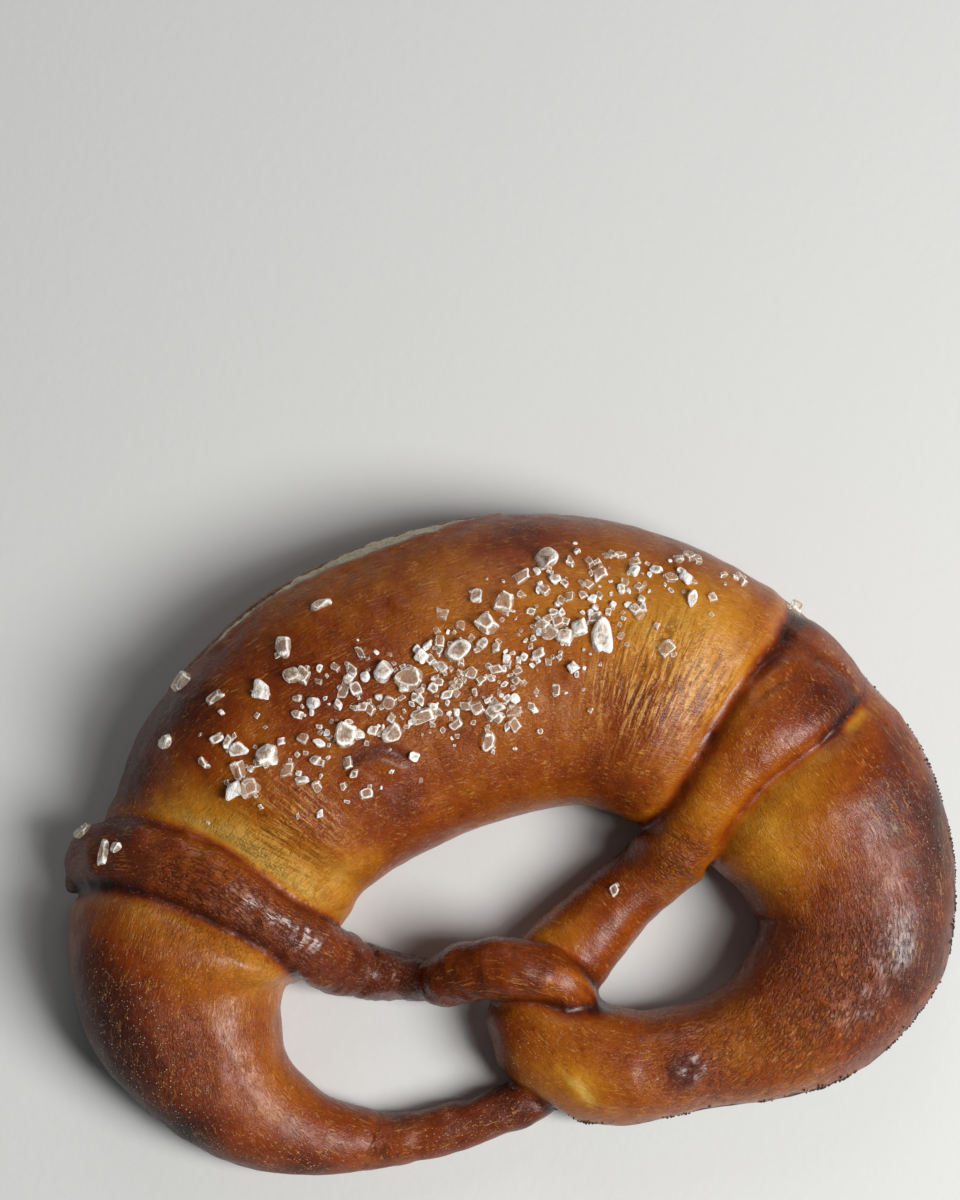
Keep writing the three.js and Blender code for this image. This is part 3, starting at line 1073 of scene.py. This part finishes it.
def table_finish(colour):
    """Plain and matt, with a faint grain."""
    f = Finish("pale_table")
    here = f.here()
    relief = f.bump(f.noise(here, 0.5, 2), 0.05 * MM)
    return f.surface({"Base Color": (*colour, 1), "Roughness": 0.85, "Normal": relief})


# ---------------------------------------------------------------------------------------------------
# Salt

GRAIN_CUTS = 6  # how many facets each side of a grain is cut into, each way
CRUMB_CUTS = 2
ABOVE_ALL = 80  # a height well over the dough, to drop grains from
PLACE_TRIES = 12
PATCH_SPREAD = 0.62  # how far the usual grain of a patch falls from its middle, as a share of its reach


def loose_turn(chance):
    """A turn any way round, as three rows."""
    first = unit(chance.normal(size=3))
    second = unit(np.cross(first, chance.normal(size=3)))
    return np.stack([first, second, np.cross(first, second)])


def grain_shape(chance, size, squareness, cuts=GRAIN_CUTS):
    """One grain: a worn lump with flat chips knocked off it. Gives points, faces and frost."""
    steps = np.linspace(-1, 1, cuts + 1)
    points, faces = [], []
    for axis in range(3):
        for way in (-1, 1):
            start = len(points)
            for u in steps:
                for v in steps:
                    point = [0.0, 0.0, 0.0]
                    point[axis], point[(axis + 1) % 3], point[(axis + 2) % 3] = way, u, v
                    points.append(point)
            for i in range(cuts):
                for j in range(cuts):
                    a = start + i * (cuts + 1) + j
                    quad = [a, a + cuts + 1, a + cuts + 2, a + 1]
                    faces.append(quad if way > 0 else quad[::-1])
    # A cube swollen towards a ball, with soft lumps, flat chips and a slight skew.
    cube = np.array(points)
    shaped = cube * ((np.abs(cube) ** squareness).sum(axis=1) ** (-1 / squareness))[:, None]
    bearing = unit(shaped)
    lumps = sum(
        np.cos(bearing @ unit(chance.normal(size=3)) * chance.uniform(2.5, 5.5) + chance.uniform(0, 6.3))
        for _ in range(4)
    )
    shaped = shaped * (1 + 0.075 * lumps)[:, None]
    for _ in range(chance.integers(3, 7)):
        heading = unit(chance.normal(size=3))
        over = np.maximum(shaped @ heading - chance.uniform(0.72, 1.0), 0)
        shaped = shaped - over[:, None] * heading
    skewed = shaped + chance.normal(size=3) * 0.12 * shaped[:, [1, 2, 0]]
    # Frosted at its edges, and clearer in the middle of its faces.
    middle = 1 - ease(0.5, 0.98, np.sort(np.abs(cube), axis=1)[:, 1])
    frost = 1 - chance.uniform(0.4, 1.0) * middle
    return skewed * (np.array(size) / 2), faces, frost


class SaltPile:
    """Grains gathered into one mesh."""

    def __init__(self, seed):
        self.chance = np.random.default_rng(seed)
        self.points, self.faces, self.frost, self.places = [], [], [], []

    def add(self, skin, x, y, length, width, turn=None):
        """Presses a grain into the dough at a place on the plan, turned by some degrees or any way."""
        hit, normal, _, _ = skin.ray_cast(Vector((x, y, ABOVE_ALL)), Vector((0, 0, -1)))
        if hit is None:
            return
        chance = self.chance
        turn = chance.uniform(0, math.pi) if turn is None else math.radians(turn)
        deep = min(length, width) * chance.uniform(0.5, 0.85)
        points, faces, frost = grain_shape(chance, (length, width, deep), chance.uniform(2.2, 4.6))
        # It lies nearly flat on the skin, sunk a little way in.
        up = unit(np.array(normal) + 0.16 * chance.normal(size=3))
        ahead = np.array([math.cos(turn), math.sin(turn), 0])
        ahead = unit(ahead - up * (ahead @ up))
        aside = np.cross(up, ahead)
        seat = np.array(hit) + up * deep * chance.uniform(0.22, 0.36)
        start = sum(len(p) for p in self.points)
        self.points.append(seat + points @ np.stack([ahead, aside, up]))
        self.faces += [[start + i for i in face] for face in faces]
        self.frost.append(np.clip(frost + chance.normal() * 0.2, 0.2, 1))
        self.places.append((x, y, max(length, width)))

    def has_room(self, x, y, size):
        """Whether a grain would stay clear of the middle half of every grain before it."""
        return all(math.hypot(x - a, y - b) > (size + other) / 4 for a, b, other in self.places)

    def add_chips(self, skin, x, y, width):
        """Drops up to two small chips beside a larger grain."""
        chance = self.chance
        for _ in range(chance.integers(0, 3)):
            size = width * chance.uniform(0.25, 0.55)
            away, around = width * chance.uniform(0.45, 0.65), chance.uniform(0, 2 * math.pi)
            self.add(skin, x + away * math.cos(around), y + away * math.sin(around), size, size * 0.8)

    def add_patch(self, skin, x, y, reach_x, reach_y, count, usual):
        """Scatters grains over a patch, trying a few places for each."""
        chance = self.chance
        for _ in range(count):
            for _ in range(PLACE_TRIES):
                at = np.array([x, y]) + chance.normal(size=2) * (reach_x, reach_y) * PATCH_SPREAD
                size = usual * min(max(chance.lognormal(0, 0.45), 0.4), 1.9)
                if self.has_room(*at, size):
                    self.add(skin, *at, size, size * chance.uniform(0.62, 1.0))
                    break


# ---------------------------------------------------------------------------------------------------
# Settings, operators and panel


class DoughSettings(bpy.types.PropertyGroup):
    voxel: bpy.props.FloatProperty(
        name="Skin detail",
        description="Distance between the points of the skin",
        default=0.66 * MM,
        min=0.4 * MM,
        max=3 * MM,
        precision=5,
        unit="LENGTH",
        subtype="DISTANCE",
    )
    gloss: bpy.props.FloatProperty(
        name="Gloss", description="How shiny the baked skin is", default=0.8, min=0, max=1, subtype="FACTOR"
    )
    darker: bpy.props.FloatProperty(
        name="Darker",
        description="Bakes the whole skin darker",
        default=0.0,
        min=-0.5,
        max=0.5,
        subtype="FACTOR",
    )


class SaltSettings(bpy.types.PropertyGroup):
    grain: bpy.props.FloatProperty(
        name="Grain size",
        description="Usual width of a loose grain of salt",
        default=1.2 * MM,
        min=0.5 * MM,
        max=5 * MM,
        precision=5,
        unit="LENGTH",
        subtype="DISTANCE",
    )
    whiteness: bpy.props.FloatProperty(
        name="Whiteness",
        description="How frosted the grains are",
        default=0.44,
        min=0,
        max=1,
        subtype="FACTOR",
    )
    seed: bpy.props.IntProperty(
        name="Seed", description="Which way the loose grains fell", default=7, min=0
    )


class CrumbSettings(bpy.types.PropertyGroup):
    crumb: bpy.props.FloatProperty(
        name="Crumb size",
        description="Usual width of a burnt crumb",
        default=0.42 * MM,
        min=0.2 * MM,
        max=3 * MM,
        precision=5,
        unit="LENGTH",
        subtype="DISTANCE",
    )
    count: bpy.props.IntProperty(
        name="Count", description="How many burnt crumbs there are at most", default=2600, min=1
    )
    colour: bpy.props.FloatVectorProperty(
        name="Colour",
        description="Colour of the crumbs",
        default=(0.022, 0.011, 0.008),
        min=0,
        max=1,
        subtype="COLOR",
    )
    seed: bpy.props.IntProperty(
        name="Seed", description="Which way the crumbs stuck", default=3, min=0
    )


class StageSettings(bpy.types.PropertyGroup):
    table: bpy.props.FloatVectorProperty(
        name="Table",
        description="Colour of the table",
        default=(0.72, 0.72, 0.70),
        min=0,
        max=1,
        subtype="COLOR",
    )
    lamp: bpy.props.FloatProperty(
        name="Lamp", description="Strength of the main lamp", default=7.5, min=0, unit="POWER"
    )


class PRETZEL_OT_dough(bpy.types.Operator):
    """Makes the browned dough of the pretzel"""

    bl_idname = "pretzel.dough"
    bl_label = "Make the dough"

    PATTERN_APART = 40.0  # so that the wrinkles of one stretch don't repeat on the next

    def execute(self, context):
        settings = context.scene.pretzel_dough
        dough = Dough(settings.voxel / MM)
        dough.sculpt()
        piece = new_object("browned_dough", dough.points * MM, dough.faces)
        mesh = piece.data
        mesh.shade_smooth()
        # The wrinkles follow the rope's length, but run across the right arm.
        turned = (dough.part == Dough.RIGHT)[:, None]
        lengthwise = np.column_stack([dough.along, dough.around])
        rope = np.where(turned, lengthwise[:, ::-1], lengthwise)
        rope = np.column_stack([rope, self.PATTERN_APART * dough.part])
        mesh.attributes.new("rope", "FLOAT_VECTOR", "POINT").data.foreach_set("vector", rope.ravel())
        fields = {
            # The skin's darkness also carries painted shade in the seams.
            "bake": dough.browning_and_seam_shade() + settings.darker,
            "tear": dough.tear,
            "char": dough.charring(),
            "rim": dough.hot_rim(),
            "flecks": patches(dough.points, FLECK_FIELDS),
            "ribs": patches(dough.points, RIB_FIELDS) * (dough.part == Dough.RING),
            "calm": (1 - ease(0.6, 2.0, dough.seam)) * dough.apart,
            "scald": dough.scalded(),
            "leather": patches(dough.points, LEATHER_FIELDS),
        }
        for name, values in fields.items():
            carry(mesh, name, values)
        mesh.materials.append(browned_skin(settings.gloss))
        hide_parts("pretzel")
        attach(piece, "root")
        return {"FINISHED"}


class PRETZEL_OT_salt(bpy.types.Operator):
    """Scatters coarse salt over the dough"""

    bl_idname = "pretzel.salt"
    bl_label = "Scatter the salt"

    def execute(self, context):
        settings = context.scene.pretzel_salt
        dough = bpy.data.objects["browned_dough"].data
        points = np.array([vertex.co for vertex in dough.vertices]) / MM
        skin = BVHTree.FromPolygons(points.tolist(), [list(face.vertices) for face in dough.polygons])
        pile = SaltPile(settings.seed)
        for x, y, length, width, turn in LARGE_GRAINS:
            pile.add(skin, x, y, length, width, turn)
            pile.add_chips(skin, x, y, width)
        for patch in SALT_PATCHES:
            pile.add_patch(skin, *patch, settings.grain / MM)
        piece = new_object("salt_grains", np.concatenate(pile.points) * MM, pile.faces)
        carry(piece.data, "frost", np.concatenate(pile.frost))
        piece.data.materials.append(salt_grain_finish(settings.whiteness))
        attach(piece, "root")
        return {"FINISHED"}


class PRETZEL_OT_crumbs(bpy.types.Operator):
    """Sticks burnt crumbs along the rim that was hottest"""

    bl_idname = "pretzel.crumbs"
    bl_label = "Stick on the burnt crumbs"

    def execute(self, context):
        settings = context.scene.pretzel_crumbs
        dough = bpy.data.objects["browned_dough"].data
        likely = [item.value for item in dough.attributes["rim"].data]
        chance = np.random.default_rng(settings.seed)
        rim = np.flatnonzero(chance.random(len(likely)) < likely)
        points, faces = [], []
        for index in chance.permutation(rim)[: settings.count]:
            vertex = dough.vertices[index]
            size = settings.crumb / MM * chance.uniform(0.5, 1.5)
            shape, crumb_faces, _ = grain_shape(chance, (size, size * 0.8, size * 0.7), 2.4, CRUMB_CUTS)
            start = len(points) * len(shape)
            seat = np.array(vertex.co) / MM
            lift = np.array(vertex.normal) * size * 0.03
            points.append(shape @ loose_turn(chance) + seat + lift)
            faces += [[start + i for i in face] for face in crumb_faces]
        piece = new_object("burnt_crumbs", np.concatenate(points) * MM, faces)
        piece.data.materials.append(burnt_crumb_finish(settings.colour))
        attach(piece, "root")
        return {"FINISHED"}


class PRETZEL_OT_stage(bpy.types.Operator):
    """Lays the table, and sets the lamps and the camera"""

    bl_idname = "pretzel.stage"
    bl_label = "Set the stage"

    # The camera looks almost straight down, from this far round and this high, at a place on the table.
    AZIMUTH = -17
    ELEVATION = 80
    DISTANCE = 0.444
    LOOKS_AT = Vector((0.0104, 0.0427, 0))
    LENS = 75

    # Lamps aimed at the origin: name, place, size, and strength as a share of the main lamp's.
    LAMPS = [
        ("window_lamp", (0.46, -0.37, 0.61), 0.42, 1.0),
        ("top_lamp", (0.28, -0.20, 0.70), 0.18, 0.12),
        ("back_lamp", (0.20, 0.62, 0.50), 0.40, 0.09),
    ]
    ROOM_COLOUR = (0.95, 0.97, 1.0)
    ROOM_LIGHT = 0.075

    def execute(self, context):
        settings = context.scene.pretzel_stage
        table = new_object("table", [(-1, -1, 0), (1, -1, 0), (1, 1, 0), (-1, 1, 0)], [(0, 1, 2, 3)])
        table.data.materials.append(table_finish(settings.table))
        self.add_camera(context)
        for name, place, size, share in self.LAMPS:
            self.add_lamp(name, place, size, settings.lamp * share)
        world = bpy.data.worlds.new("room")
        world.use_nodes = True
        backdrop = world.node_tree.nodes["Background"]
        backdrop.inputs["Color"].default_value = (*self.ROOM_COLOUR, 1)
        backdrop.inputs["Strength"].default_value = self.ROOM_LIGHT
        context.scene.world = world
        context.scene.view_settings.view_transform = "Standard"
        return {"FINISHED"}

    def add_camera(self, context):
        turn, rise = math.radians(self.AZIMUTH), math.radians(self.ELEVATION)
        back = Vector((math.sin(turn) * math.cos(rise), -math.cos(turn) * math.cos(rise), math.sin(rise)))
        data = bpy.data.cameras.new("camera")
        data.lens = self.LENS
        data.sensor_width = 36
        data.clip_start = 0.01
        camera = bpy.data.objects.new("camera", data)
        camera.location = self.LOOKS_AT + back * self.DISTANCE
        camera.rotation_euler = back.to_track_quat("Z", "Y").to_euler()
        context.scene.collection.objects.link(camera)
        context.scene.camera = camera

    @staticmethod
    def add_lamp(name, place, size, power):
        data = bpy.data.lights.new(name, "AREA")
        data.shape = "DISK"
        data.size = size
        data.energy = power
        lamp = bpy.data.objects.new(name, data)
        lamp.location = place
        lamp.rotation_euler = Vector(place).to_track_quat("Z", "Y").to_euler()
        bpy.context.scene.collection.objects.link(lamp)


class PRETZEL_PT_panel(bpy.types.Panel):
    bl_label = "Pretzel"
    bl_idname = "PRETZEL_PT_panel"
    bl_space_type = "VIEW_3D"
    bl_region_type = "UI"
    bl_category = "Pretzel"

    def draw(self, context):
        for operator, key, _ in STEPS:
            box = self.layout.box()
            group = getattr(context.scene, key)
            for name in type(group).__annotations__:
                box.prop(group, name)
            box.operator(operator.bl_idname)


# What the panel offers, from top to bottom, with the name its settings go by in the scene.
STEPS = [
    (PRETZEL_OT_dough, "pretzel_dough", DoughSettings),
    (PRETZEL_OT_crumbs, "pretzel_crumbs", CrumbSettings),
    (PRETZEL_OT_salt, "pretzel_salt", SaltSettings),
    (PRETZEL_OT_stage, "pretzel_stage", StageSettings),
]
CLASSES = [
    DoughSettings,
    CrumbSettings,
    SaltSettings,
    StageSettings,
    PRETZEL_OT_dough,
    PRETZEL_OT_crumbs,
    PRETZEL_OT_salt,
    PRETZEL_OT_stage,
    PRETZEL_PT_panel,
]


def register():
    for cls in CLASSES:
        bpy.utils.register_class(cls)
    for _, key, settings in STEPS:
        setattr(bpy.types.Scene, key, bpy.props.PointerProperty(type=settings))


def unregister():
    for _, key, _ in STEPS:
        delattr(bpy.types.Scene, key)
    for cls in reversed(CLASSES):
        bpy.utils.unregister_class(cls)


def main():
    register()
    bpy.ops.pretzel.dough()
    bpy.ops.pretzel.crumbs()
    bpy.ops.pretzel.salt()
    bpy.ops.pretzel.stage()


if __name__ == "__main__":
    main()
